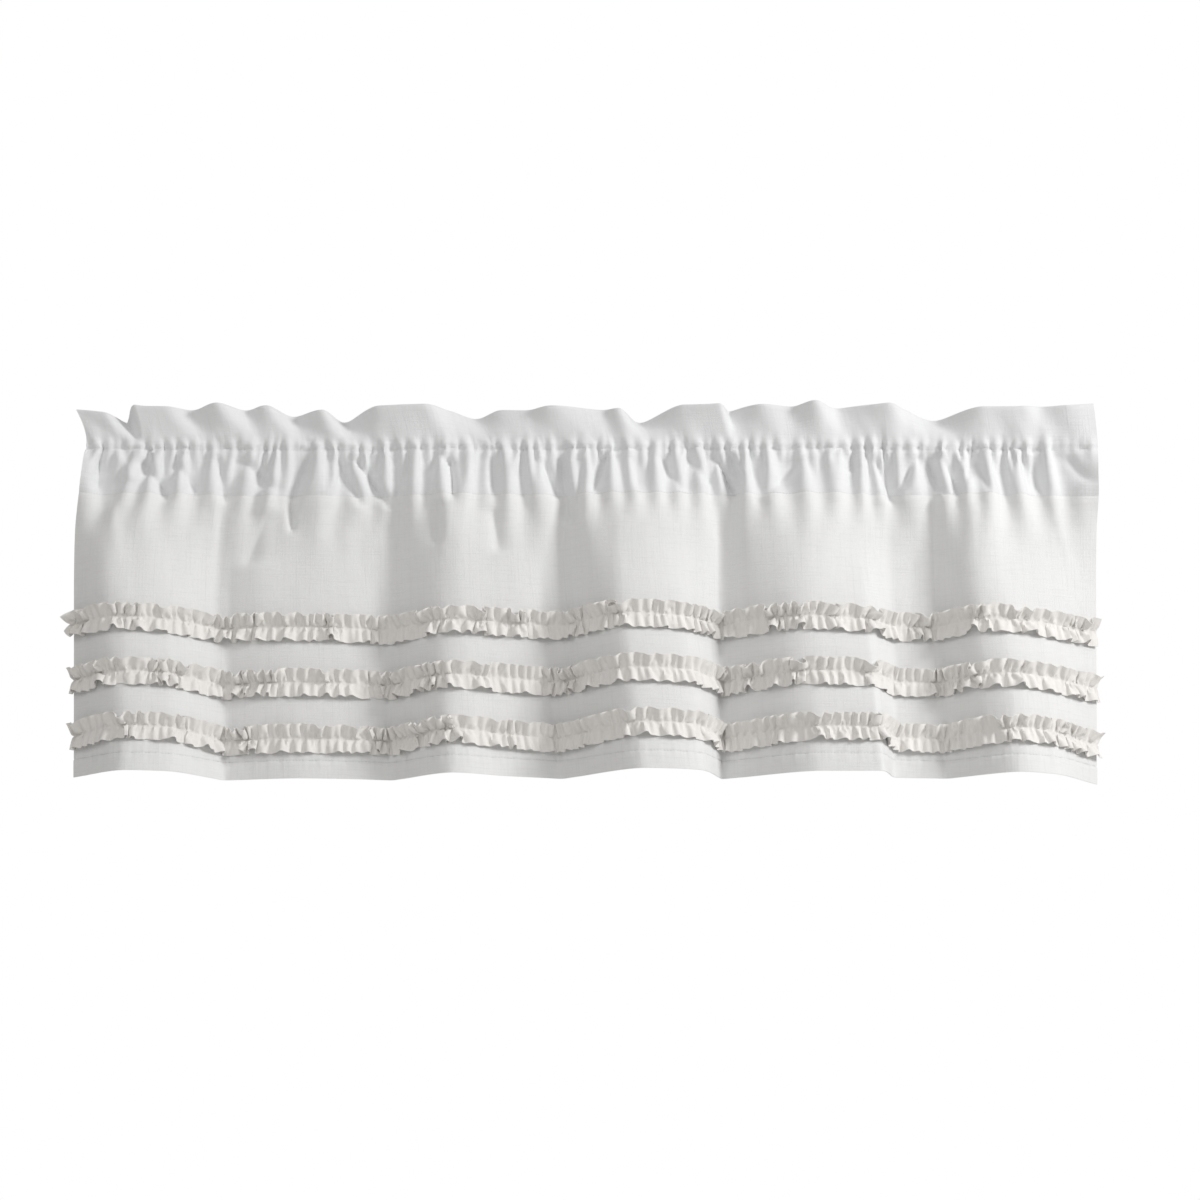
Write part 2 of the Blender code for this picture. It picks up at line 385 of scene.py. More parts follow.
@dataclass
class Valance:
    """The cloth's shape as it hangs: its folds, gathers and creases, shared by every piece."""

    top_seam: float = 22.6
    bottom_seam: float = -22.6
    hem: float = -292.0
    hem_stitch: float = -275.0
    high_folds: float = -68.0
    forward_middle: float = 32.0
    pocket_span: tuple[float, float] = (-479.0, 487.0)
    top_seam_span: tuple[float, float] = (-474.0, 482.0)
    cut_width: float = 1.19
    body_levels: tuple[float, ...] = (-292.0, -82.0, -55.0, -38.0, -27.0, -22.6)
    body_folds: tuple[float, ...] = (1.0, 1.0, 0.97, 0.8, 0.54, 0.45)
    body_forward: tuple[float, ...] = (0.0, 0.0, 2.0, 4.0, 5.0, 5.0)
    pocket_levels: tuple[float, ...] = (-22.6, -19.0, -12.0, 0.0, 12.0, 19.0, 22.6)
    pocket_bulge: tuple[float, ...] = (5.0, 7.0, 10.5, 12.5, 12.0, 9.0, 0.5)
    pinch_start: float = -4.0
    folds_end: float = -10.0
    ridges_end: float = 8.0
    ridges_left: float = 0.35
    folds_in_pocket: float = 0.12
    crease_share: float = 0.22
    crease_depth: float = 1.5
    crease_overrun: float = 0.1
    crease_power: float = 1.5
    crease_fading: float = 1.6
    upper_groove: tuple[float, float] = (1.2, 2.2)
    lower_groove: tuple[float, float] = (0.5, 1.8)
    uneven: float = 0.36
    uneven_steps: tuple[float, float] = (0.3, 1.7)
    uneven_places: int = 46
    uneven_seed: int = 6
    frill_flare: float = 0.75
    frill_lean: float = 0.65
    tucks: Pleats = field(default_factory=lambda: Pleats(9.5, 0.36, 7, 21))
    waves: tuple[Pleats, ...] = field(
        default_factory=lambda: (Pleats(30, 0.14, 34, 12), Pleats(56, 0.08, 74, 13, 0.15))
    )

    def folds(self, shares: Array, heights: Array) -> tuple[Array, Array]:
        """The body's main folds.

        Args:
            shares: Shares of the cut width, one for each column.
            heights: Heights, one for each row.

        Returns:
            Across and forward, in rows and columns.
        """
        table = creased(FOLDS, self.crease_share)
        high = lay_along(table, ("across_high", "forward_high"), shares)
        hem = lay_along(table, ("across_hem", "forward_hem"), shares)
        span = self.high_folds - self.hem
        fall = np.clip((self.high_folds - heights) / span, 0, 1)[:, None]
        across = high[0] + fall * (hem[0] - high[0])
        forward = high[1] + fall * (hem[1] - high[1]) - self.forward_middle
        return across, forward

    def drawn_in(self, shares: Array, span: tuple[float, float], seed: int = 0) -> Array:
        """Where the columns lie along a seam, gathered tighter in some places than in others.

        Args:
            shares: Shares of the cut width.
            span: The seam's two ends.
            seed: Which uneven gathering, or 0 for an even one.

        Returns:
            Places across.
        """
        even = span[0] + shares * (span[1] - span[0])
        hung = self.folds(shares, np.array([self.high_folds]))[0][0]
        drawn = (even + np.interp(hung, [hung[0], hung[-1]], span)) / 2
        if not seed:
            return drawn
        random = np.random.default_rng(seed)
        steps = random.uniform(*self.uneven_steps, self.uneven_places)
        steps = np.concatenate([[0.0], steps.cumsum()])
        room = random.uniform(1 - self.uneven, 1 + self.uneven, self.uneven_places + 1)
        slack = np.concatenate([[0.0], ((room[1:] + room[:-1]) / 2 * np.diff(steps)).cumsum()])
        shift = slack / slack[-1] - steps / steps[-1]
        shift -= soften(np.pad(shift, 3, mode="edge")[None], 3)[0][3:-3]
        return drawn + (span[1] - span[0]) * np.interp(shares, steps / steps[-1], shift)

    def creases(self, across: Array, height: Array) -> Array:
        """How far the main creases pull the cloth in.

        Args:
            across: Places across.
            height: Heights.

        Returns:
            The pull, away from the room.
        """
        pull = np.zeros(np.shape(across))
        least, most = -self.crease_overrun, 1 + self.crease_overrun
        for crease in CREASES:
            run = crease.across_lower - crease.across_upper
            drop = crease.height_upper - crease.height_lower
            down = (crease.height_upper - height) / drop
            middle = crease.across_upper + run * np.clip(down, least, most)
            slant = math.cos(math.atan2(run, drop))
            off = np.abs(across - middle) * slant / crease.width
            from_middle = np.abs(down - 0.5)
            ends = np.clip(1 - (2 * from_middle) ** 4, 0, 1) * (from_middle < 0.5)
            fade = np.exp(-(off**self.crease_power) * self.crease_fading)
            pull += self.crease_depth * crease.depth * ends * fade
        return pull

    def seam_grooves(self, heights: Array) -> Array:
        """How far the two seams of the pocket draw the cloth in.

        Args:
            heights: Heights.

        Returns:
            The pull, away from the room.
        """
        seams = ((self.top_seam, self.upper_groove), (self.bottom_seam, self.lower_groove))
        return sum(
            depth * np.exp(-(((heights - level) / width) ** 2)) for level, (depth, width) in seams
        )

    def body(self, shares: Array, heights: Array) -> Array:
        """The body's cloth below the pocket, with its folds and gathers.

        Args:
            shares: Shares of the cut width.
            heights: Heights of the rows.

        Returns:
            The cloth's points.
        """
        across, forward = self.folds(shares, heights)
        share = pass_through(self.body_levels, self.body_folds, heights)[:, None]
        drawn = self.drawn_in(shares, self.pocket_span)
        across = across + (1 - share) / (1 - self.body_folds[-1]) * (drawn - across)
        distance = np.broadcast_to((self.bottom_seam - heights)[:, None], across.shape)
        along = np.broadcast_to(drawn, across.shape)
        shift = pass_through(self.body_levels, self.body_forward, heights)[:, None]
        forward = share * forward + shift + sum(p.rise(along, distance) for p in self.waves)
        return cloth(across, forward, heights[:, None])

    def pocket_front(self, shares: Array, heights: Array) -> Array:
        """The front wall of the rod pocket.

        Args:
            shares: Shares of the cut width.
            heights: Heights of the rows.

        Returns:
            The wall's points.
        """
        bottom, top = self.bottom_seam, self.top_seam
        bulge = pass_through(self.pocket_levels, self.pocket_bulge, heights)[:, None]
        drawn = self.drawn_in(shares, self.pocket_span)
        pinched = self.drawn_in(shares, self.top_seam_span, self.uneven_seed)
        rise = np.clip((heights - self.pinch_start) / (top - self.pinch_start), 0, 1)[:, None]
        across = drawn + rise * (pinched - drawn)
        main = self.folds(shares, np.array([self.high_folds]))[1]
        low = pass_through((bottom, self.folds_end, top), (1.0, 0.0, 0.0), heights)[:, None]
        fading = (1.0, 1.0, self.ridges_left)
        high = pass_through((bottom, self.ridges_end, top), fading, heights)[:, None]
        ridges = self.folds_in_pocket * np.maximum(main, 0)
        down = np.broadcast_to((top - heights)[:, None], across.shape)
        along = np.broadcast_to(drawn, across.shape)
        gathers = high * sum(p.rise(along, np.zeros(across.shape)) for p in self.waves)
        gathers = gathers + self.tucks.rise(across, down)
        seam = low * self.body_folds[-1] * main + (1 - low) * ridges * high
        return cloth(across, bulge + seam + gathers, heights[:, None])

    def frill(self, shares: Array, rises: Array) -> Array:
        """The standing frill, from the upper seam to its top edge.

        Args:
            shares: Shares of the cut width.
            rises: Shares of the frill's height, one for each row.

        Returns:
            The frill's points.
        """
        seam_line = self.pocket_front(shares, np.array([self.top_seam]))
        pinched, seam = seam_line[:, :, 0], seam_line[:, :, 1]
        curves = walk(LOBES, ("across", "forward", "height"))
        span = (curves[0][0], curves[0][-1])
        reach = np.interp(pinched[0], (pinched[0, 0], pinched[0, -1]), span)
        edge = [np.interp(reach, curves[0], curve) for curve in curves]
        rise = rises[:, None]
        flare = (1 - self.frill_flare) * rise + self.frill_flare * rise**2
        across = pinched + flare * (edge[0] - pinched)
        height = self.top_seam + rise * (edge[2] - self.top_seam)
        smooth = seam - self.tucks.rise(pinched, np.zeros(pinched.shape))
        settled = 1 - (1 - rise) ** 2
        forward = smooth + settled * (smooth.mean() - smooth)
        lean = (1 - self.frill_lean) * rise + self.frill_lean * rise**2
        forward = forward + lean * edge[1]
        along = np.broadcast_to(pinched, across.shape)
        forward = forward + self.tucks.rise(along, height - self.top_seam)
        return cloth(across, forward, height)


class Grid(NamedTuple):
    """A flat grid just made, and which of its points is which."""

    piece: bpy.types.Object
    row: Array
    column: Array

    @staticmethod
    def lay(name: str, rows: int, columns: int) -> Grid:
        """Add a grid.

        Args:
            name: The object's name.
            rows: Points from top to bottom.
            columns: Points from left to right.

        Returns:
            The grid, with the row and the column of each of its points.
        """
        bpy.ops.object.select_all(action="DESELECT")
        bpy.ops.mesh.primitive_grid_add(x_subdivisions=columns - 1, y_subdivisions=rows - 1, size=1)
        piece = bpy.context.object
        piece.name = piece.data.name = name
        flat = np.empty(len(piece.data.vertices) * 3)
        piece.data.vertices.foreach_get("co", flat)
        flat = flat.reshape(-1, 3)
        column = np.rint((flat[:, 0] + 0.5) * (columns - 1)).astype(int)
        row = np.rint((0.5 - flat[:, 1]) * (rows - 1)).astype(int)
        return Grid(piece, row, column)

    def corners(self, points: Array) -> Array:
        """Points of cloth in metres, in the order of the grid's own."""
        return metres(points)[self.row, self.column].ravel()


@dataclass(frozen=True)
class Settling:
    """A short simulation in which gathered cloth, held where it is sewn, finds its small folds."""

    gathering: int = 10
    frames: int = 24
    steps: int = 5
    mass: float = 0.15
    stretch: float = 15.0
    shear: float = 5.0
    bend: float = 35.0
    air: float = 3.0
    weight: float = 0.0

    def run(self, points: Array, flat: Array, hold: Array) -> Array:
        """Gather a flat sheet to its main shape and let it settle.

        Args:
            points: The shape it is led to.
            flat: Where the same points lie on the flat cloth.
            hold: How firmly each point is led, from 0 to 1.

        Returns:
            Where its points come to rest.
        """
        grid = Grid.lay("settling_cloth", *hold.shape)
        sheet = grid.piece
        sheet.data.vertices.foreach_set("co", grid.corners(flat))
        sheet.shape_key_add(name="flat")
        hung = sheet.shape_key_add(name="hung")
        hung.data.foreach_set("co", grid.corners(points))
        self._set_up(sheet, np.round(hold[grid.row, grid.column], 2))
        for share, moment in ((0.0, 1), (1.0, self.gathering)):
            hung.value = share
            hung.keyframe_insert("value", frame=moment)
        for moment in range(1, self.frames + 1):
            bpy.context.scene.frame_set(moment)
        settled = sheet.evaluated_get(bpy.context.evaluated_depsgraph_get())
        out = np.empty(points.size)
        settled.data.vertices.foreach_get("co", out)
        rest = np.empty_like(points)
        rest[grid.row, grid.column] = out.reshape(-1, 3) * (1 / MM, -1 / MM, 1 / MM)
        bpy.context.scene.frame_set(1)
        bpy.data.objects.remove(sheet)
        return rest

    def _set_up(self, sheet: bpy.types.Object, hold: Array) -> None:
        """Give the sheet its cloth rules.

        Args:
            sheet: The sheet.
            hold: How firmly each of its points is led.
        """
        group = sheet.vertex_groups.new(name="hold")
        for level in np.unique(hold):
            group.add(np.flatnonzero(hold == level).tolist(), float(level), "REPLACE")
        modifier = sheet.modifiers.new("settling", "CLOTH")
        rules = modifier.settings
        rules.vertex_group_mass = group.name
        rules.quality = self.steps
        rules.mass = self.mass
        rules.tension_stiffness = rules.compression_stiffness = self.stretch
        rules.shear_stiffness = self.shear
        rules.bending_stiffness = self.bend
        rules.air_damping = self.air
        rules.effector_weights.gravity = self.weight
        modifier.collision_settings.use_collision = False
        modifier.point_cache.frame_start = 1
        modifier.point_cache.frame_end = self.frames


@dataclass(frozen=True)
class ClothMesh:
    """Makes a fine sheet of cloth from rows and columns of points."""

    thickness: float
    width: float
    rim_angle: float = 60.0

    def build(self, name: str, points: Array, drop: Array) -> bpy.types.Object:
        """Lay a grid through the points and give it its thickness.

        Args:
            name: The piece's name.
            points: The cloth's points.
            drop: Each row's place along the cloth, for the weave.

        Returns:
            The finished piece.
        """
        rows, columns = points.shape[:2]
        grid = Grid.lay(name, rows, columns)
        mesh = grid.piece.data
        mesh.vertices.foreach_set("co", grid.corners(points))
        corner = np.empty(len(mesh.loops), int)
        mesh.loops.foreach_get("vertex_index", corner)
        along = grid.column / (columns - 1) * self.width
        weave = np.stack([along, drop[grid.row] * MM], axis=1)
        layer = mesh.uv_layers.active or mesh.uv_layers.new()
        layer.name = "cloth"
        layer.data.foreach_set("uv", weave[corner].astype(np.float32).ravel())
        mesh.shade_smooth()
        mesh.update()
        solid = grid.piece.modifiers.new("thickness", "SOLIDIFY")
        solid.thickness = self.thickness * MM
        solid.offset = 0
        bpy.ops.object.modifier_apply(modifier=solid.name)
        grid.piece.data.set_sharp_from_angle(angle=math.radians(self.rim_angle))
        return grid.piece


class Grain(NamedTuple):
    """One noise in the cloth: its size in millimetres, its finer levels and where it is read."""

    width: float
    drop: float
    detail: float
    place: float


class Wire:
    """One socket of a shader, with the arithmetic written as in Python."""

    def __init__(self, tree: bpy.types.NodeTree, socket: bpy.types.NodeSocket):
        """Wrap a socket.

        Args:
            tree: The node tree it is in.
            socket: The output to read from.
        """
        self.tree = tree
        self.socket = socket

    def _math(self, operation: str, first: Wire | float, second: Wire | float) -> Wire:
        """Add one Math node.

        Args:
            operation: What the node does.
            first: Its first value.
            second: Its second value.

        Returns:
            The node's output.
        """
        node = self.tree.nodes.new("ShaderNodeMath")
        node.operation = operation
        for slot, value in enumerate((first, second)):
            if isinstance(value, Wire):
                self.tree.links.new(value.socket, node.inputs[slot])
            else:
                node.inputs[slot].default_value = value
        return Wire(self.tree, node.outputs[0])

    def __add__(self, other: Wire | float) -> Wire:
        """Sum."""
        return self._math("ADD", self, other)

    __radd__ = __add__

    def __mul__(self, other: Wire | float) -> Wire:
        """Product."""
        return self._math("MULTIPLY", self, other)

    __rmul__ = __mul__

    def __sub__(self, other: Wire | float) -> Wire:
        """Difference."""
        return self._math("SUBTRACT", self, other)

    def __rsub__(self, other: Wire | float) -> Wire:
        """Difference, the other way round."""
        return self._math("SUBTRACT", other, self)

    def sine(self) -> Wire:
        """Sine."""
        return self._math("SINE", self, 0.0)

    def power(self, exponent: float) -> Wire:
        """This value to a power."""
        return self._math("POWER", self, exponent)


class Palette:
    """Builds one material's nodes."""

    def __init__(self, name: str):
        """Start an empty material.

        Args:
            name: The material's name.
        """
        self.material = bpy.data.materials.new(name)
        self.material.use_nodes = True
        self.tree = self.material.node_tree
        self.tree.nodes.clear()

    def node(self, kind: str, settings: dict | None = None, **sockets: object) -> bpy.types.Node:
        """Add a node, set it up and feed it.

        Args:
            kind: The node's type.
            settings: Its own settings, set first.
            **sockets: Values or wires for its inputs, with underscores for blanks.

        Returns:
            The node.
        """
        node = self.tree.nodes.new(kind)
        for key, value in (settings or {}).items():
            if key == "ramp":
                for element, (stop, level) in zip(node.color_ramp.elements, value):
                    element.position = stop
                    element.color = (level, level, level, 1)
            else:
                setattr(node, key, value)
        for key, value in sockets.items():
            socket = node.inputs[int(key[1:])] if key[1:].isdigit() else node.inputs[
                key.replace("_", " ")]
            if isinstance(value, Wire):
                self.tree.links.new(value.socket, socket)
            elif isinstance(value, bpy.types.NodeSocket):
                self.tree.links.new(value, socket)
            else:
                socket.default_value = value
        return node

    def wire(self, socket: bpy.types.NodeSocket) -> Wire:
        """Wrap a socket for arithmetic."""
        return Wire(self.tree, socket)

    def noise(self, uv: bpy.types.NodeSocket, grain: Grain) -> Wire:
        """Noise drawn out along the threads.

        Args:
            uv: The cloth's own coordinates, in metres.
            grain: The noise's size and place.

        Returns:
            The noise, from 0 to 1.
        """
        moved = self.node(
            "ShaderNodeMapping",
            Vector=uv,
            Location=(grain.place, grain.place * 1.7, grain.place),
            Scale=(1 / (grain.width * MM), 1 / (grain.drop * MM), 1.0),
        )
        noise = self.node(
            "ShaderNodeTexNoise",
            Vector=moved.outputs[0],
            Scale=1.0,
            Detail=grain.detail,
            Roughness=0.55,
        )
        return self.wire(noise.outputs[0])

    def ramp(self, value: Wire, low: float, high: float) -> Wire:
        """Stretch a range of values to the whole range from 0 to 1."""
        settings = {"ramp": [(low, 0.0), (high, 1.0)]}
        return self.wire(self.node("ShaderNodeValToRGB", settings, Fac=value).outputs[0])

    def blend(self, share: Wire | float, first: object, second: object) -> bpy.types.NodeSocket:
        """Mix two colours.

        Args:
            share: How much of the second shows.
            first: The first colour.
            second: The second colour.

        Returns:
            The mixed colour.
        """
        node = self.node("ShaderNodeMix", {"data_type": "RGBA"}, _0=share, _6=first, _7=second)
        return node.outputs[2]


@dataclass(frozen=True)
class LinenFinish:
    """Matt linen-look cloth: a plain weave with uneven slubs both ways."""

    name: str
    tone: tuple[float, float, float]
    slub_tone: tuple[float, float, float]
    thread: float = 0.62
    weave_height: float = 0.05
    slub_height: float = 0.16
    crumple_height: float = 0.5
    weft_slubs: Grain = Grain(27, 1.5, 2, 3.1)
    warp_slubs: Grain = Grain(1.6, 60, 2, 7.7)
    weft_range: tuple[float, float] = (0.5, 0.74)
    warp_range: tuple[float, float] = (0.52, 0.76)
    bands: Grain = Grain(7, 160, 2, 11.3)
    patches: Grain = Grain(34, 5, 3, 5.9)
    crumples: Grain = Grain(13, 21, 3, 17.3)
    shade_shares: tuple[float, float, float] = (0.55, 0.25, 0.2)
    roughness: float = 0.88
    slub_gloss: float = 0.08
    sheen: float = 0.15
    sheen_roughness: float = 0.5
    specular: float = 0.25

    def make(self) -> bpy.types.Material:
        """Build the material.

        Returns:
            The finished material.
        """
        palette = Palette(self.name)
        uv = palette.node("ShaderNodeUVMap", {"uv_map": "cloth"}).outputs[0]
        parts = palette.node("ShaderNodeSeparateXYZ", _0=uv)
        turn = 2 * math.pi / (self.thread * MM)
        warp, weft = ((palette.wire(parts.outputs[k]) * turn).sine() for k in (0, 1))
        weft_slub = palette.ramp(palette.noise(uv, self.weft_slubs), *self.weft_range)
        warp_slub = palette.ramp(palette.noise(uv, self.warp_slubs), *self.warp_range)
        slubs = weft_slub * 0.5 + warp_slub * 0.5
        crumple = palette.noise(uv, self.crumples) * self.crumple_height
        relief = warp * weft * self.weave_height + slubs * self.slub_height + crumple
        bump = palette.node("ShaderNodeBump", Strength=1.0, Distance=MM, Height=relief)
        slub_share, band_share, patch_share = self.shade_shares
        bands = palette.noise(uv, self.bands) * band_share
        patches = palette.noise(uv, self.patches) * patch_share
        shade = slubs * slub_share + bands + patches
        shader = palette.node(
            "ShaderNodeBsdfPrincipled",
            Base_Color=palette.blend(shade, (*self.tone, 1), (*self.slub_tone, 1)),
            Roughness=self.roughness - slubs * self.slub_gloss,
            Normal=bump.outputs[0],
            Sheen_Weight=self.sheen,
            Sheen_Roughness=self.sheen_roughness,
            Specular_IOR_Level=self.specular,
        )
        palette.node("ShaderNodeOutputMaterial", Surface=shader.outputs[0])
        return palette.material


@dataclass(frozen=True)
class PlainFinish:
    """A matt finish with a faint cloudiness, for thread and for the floor."""

    name: str
    tone: tuple[float, float, float]
    cloud: float = 0.04
    grain: float = 4.0
    roughness: float = 0.8

    def make(self) -> bpy.types.Material:
        """Build the material.

        Returns:
            The finished material.
        """
        palette = Palette(self.name)
        place = palette.node("ShaderNodeTexCoord").outputs["Object"]
        noise = palette.node("ShaderNodeTexNoise", Vector=place, Scale=self.grain, Detail=2.0)
        darker = tuple(channel * (1 - 2 * self.cloud) for channel in self.tone)
        share = palette.wire(noise.outputs[0])
        colour = palette.blend(share, (*self.tone, 1), (*darker, 1))
        shader = palette.node(
            "ShaderNodeBsdfPrincipled", Base_Color=colour, Roughness=self.roughness
        )
        palette.node("ShaderNodeOutputMaterial", Surface=shader.outputs[0])
        return palette.material


def dress(piece: bpy.types.Object, material: bpy.types.Material) -> None:
    """Give a piece its one material.

    Args:
        piece: The piece.
        material: Its material.
    """
    piece.data.materials.clear()
    piece.data.materials.append(material)


class Front(NamedTuple):
    """The cloth that faces the room, from the frill's top edge down into the body."""

    points: Array
    frill_rows: int
    pocket_rows: int

    @property
    def frill(self) -> Array:
        """The frill, from its top edge down to the upper seam."""
        return self.points[: self.frill_rows]

    @property
    def pocket(self) -> Array:
        """The pocket's front wall, from the upper seam down to the lower one."""
        return self.points[self.frill_rows - 1 : self.frill_rows + self.pocket_rows]

    @property
    def body(self) -> Array:
        """The upper part of the body, from the lower seam down."""
        return self.points[self.frill_rows + self.pocket_rows - 1 :]


@dataclass(frozen=True)
class Hanging:
    """How the front is led to its folds: where it is held, and how much of its own it finds."""

    shape: Valance
    settling: Settling
    columns: int = 561
    frill_rows: int = 14
    pocket_rows: int = 15
    body_rows: int = 35
    lowest: float = -129.0
    held_levels: tuple[float, ...] = (
        -129.0, -115.0, -90.0, -60.0, -24.0, -22.7, -20.0, 20.0, 22.7, 26.0, 45.0, 62.0,
    )
    held: tuple[float, ...] = (0.5, 0.15, 0.02, 0.0, 0.0, 0.08, 0.0, 0.0, 0.5, 0.0, 0.01, 0.3)
    end_share: float = 0.02
    end_held: float = 0.3
    found_levels: tuple[float, ...] = (-129.0, -85.0, -55.0, -30.0, 0.0, 24.0, 33.0, 62.0)
    found_share: tuple[float, ...] = (0.0, 0.3, 0.55, 0.8, 1.0, 1.0, 0.45, 0.4)
    found_reach: tuple[int, ...] = (26, 18, 11, 4, 0, 0, 6, 14)

    def hang(self) -> Front:
        """Lay the cloth in its main folds, let it settle between its seams and crease it.

        Returns:
            The settled cloth.
        """
        shape = self.shape
        shares = np.linspace(0, 1, self.columns)
        points = self._main_folds(shares)
        height = points[:, :, 2].mean(axis=1)
        flat = cloth((shares - 0.5) * shape.cut_width / MM, 0.0, height[:, None])
        hold = np.interp(height, self.held_levels, self.held)
        from_end = np.minimum(shares, 1 - shares)
        ends = np.interp(from_end, (0.0, self.end_share), (self.end_held, 0.0))
        found = self.settling.run(points, flat, np.maximum(hold[:, None], ends)) - points
        share = np.interp(height, self.found_levels, self.found_share)
        reach = np.interp(height, self.found_levels, self.found_reach)
        for row in range(len(points)):
            found[row] = share[row] * soften(found[row].T, int(reach[row])).T
        settled = points + found
        settled[:, :, 1] -= shape.creases(settled[:, :, 0], settled[:, :, 2])
        settled[:, :, 1] -= shape.seam_grooves(height)[:, None]
        return Front(settled, self.frill_rows, self.pocket_rows)

    def _main_folds(self, shares: Array) -> Array:
        """The frill, the pocket's front wall and the upper body, before they settle.

        Args:
            shares: Shares of the cut width, one for each column.

        Returns:
            The cloth's points.
        """
        shape = self.shape
        pocket = np.linspace(shape.top_seam, shape.bottom_seam, self.pocket_rows + 1)[1:]
        body = np.linspace(shape.bottom_seam, self.lowest, self.body_rows + 1)[1:]
        return np.concatenate([
            shape.frill(shares, np.linspace(1, 0, self.frill_rows)),
            shape.pocket_front(shares, pocket),
            shape.body(shares, body),
        ])


@dataclass
class Heading:
    """The standing frill and the rod pocket: one cloth, folded over at the top."""

    shape: Valance
    front: Front
    thickness: float = 0.7
    layer: float = 1.0
    back_bulge: float = 10.0
    back_power: float = 2.5
    back_gathers: float = 0.4
    gather_reach: int = 24
    turn_angles: tuple[float, ...] = (-0.45, 0.0, 0.45)
    turn_height: float = 0.7

    def build(self, finish: LinenFinish) -> bpy.types.Object:
        """Make the heading.

        Args:
            finish: The cloth's finish.

        Returns:
            The finished piece.
        """
        pocket, frill = self.front.pocket[::-1], self.front.frill[::-1]
        out = self.layer * outward(frill, 3)
        turned_over = [
            frill[-1] + math.sin(angle * math.pi) * out[-1]
            + (0, 0, math.cos(angle * math.pi) * self.layer * self.turn_height)
            for angle in self.turn_angles
        ]
        points = np.concatenate([
            self._back_wall(pocket, frill), frill[1:] - out[1:], turned_over,
            (frill + out)[:0:-1], pocket[::-1],
        ])
        rows = np.hypot(*np.diff(np.moveaxis(points[:, :, 1:], -1, 0), axis=1)).mean(axis=1)
        drop = -np.concatenate([[0.0], rows.cumsum()])
        width = self.shape.cut_width
        piece = ClothMesh(self.thickness, width).build("heading_cloth", points, drop)
        dress(piece, finish.make())
        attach(piece, "root")
        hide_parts("heading")
        return piece

    def _back_wall(self, pocket: Array, frill: Array) -> Array:
        """The pocket's back wall, flatter than its front.

        Args:
            pocket: The front wall, from the bottom up.
            frill: The frill, from the bottom up.

        Returns:
            The wall's points, from the bottom up.
        """
        levels = pocket[:, :, 2].mean(axis=1)
        wall = pocket[:, :, 1]
        part = np.linspace(0, 1, len(levels))[:, None]
        from_middle = np.abs(levels / self.shape.top_seam)[:, None]
        forward = -self.back_bulge * np.clip(1 - from_middle**self.back_power, 0, 1)
        forward = forward + self.back_gathers * (wall - soften(wall, self.gather_reach))
        forward = forward + (1 - part) ** 4 * (wall[0] - 2 * self.layer)
        forward = forward + part**4 * (frill[0, :, 1] - self.layer)
        return cloth(pocket[:, :, 0], forward, pocket[:, :, 2])


@dataclass
class Panel:
    """The body of the valance below the pocket, with its turned hem."""

    shape: Valance
    front: Front
    thickness: float = 0.7
    hem_thickness: float = 0.5
    hem_step: float = 1.2
    highest: float = -133.0
    rows: int = 29
    above_stitches: float = 3.5
    beside_stitches: tuple[float, ...] = (1.6, 0.8, 0.0, -0.8, -1.6)
    hem_levels: tuple[float, ...] = (-279.5, -284.0, -288.0, -290.5, -291.4, -292.0)
    groove: tuple[float, float] = (0.45, 0.9)
    puckers: tuple[tuple[float, float], ...] = ((0.22, 1.9), (0.2, 0.83))
    pucker_reach: float = 7.0

    def levels(self) -> Array:
        """The heights of the rows below the settled ones, closest at the hem's stitches.

        Returns:
            Heights down to the hem.
        """
        stitch = self.shape.hem_stitch
        middle = np.linspace(self.highest, stitch + self.above_stitches, self.rows)
        return np.concatenate([middle, stitch + np.array(self.beside_stitches), self.hem_levels])

    def build(self, finish: LinenFinish) -> bpy.types.Object:
        """Make the body.

        Args:
            finish: The cloth's finish.

        Returns:
            The finished piece.
        """
        width = self.shape.cut_width
        upper = self.front.body
        columns = upper.shape[1]
        lower = self.shape.body(np.linspace(0, 1, columns), self.levels())
        points = np.concatenate([upper, lower])
        levels = points[:, :, 2].mean(axis=1)
        points = points + self._hem_relief(levels, columns)[:, :, None] * outward(points, 3)
        piece = ClothMesh(self.thickness, width).build("panel_cloth", points, levels)
        dress(piece, finish.make())
        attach(piece, "root")
        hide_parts("panel")
        return piece

    def _hem_relief(self, levels: Array, columns: int) -> Array:
        """How far the turned hem and its stitches move the cloth.

        Args:
            levels: The rows' heights.
            columns: The number of columns.

        Returns:
            The push towards the room, in rows and columns.
        """
        below = self.shape.hem_stitch - levels
        turned = self.hem_thickness * np.clip(below / self.hem_step, 0, 1)
        depth, width = self.groove
        groove = -depth * np.exp(-((below / width) ** 2))
        column = np.arange(columns)
        pucker = sum(height * np.sin(column * turn) for height, turn in self.puckers)
        near = np.exp(-((below / self.pucker_reach) ** 2))
        return (turned + groove)[:, None] + near[:, None] * pucker


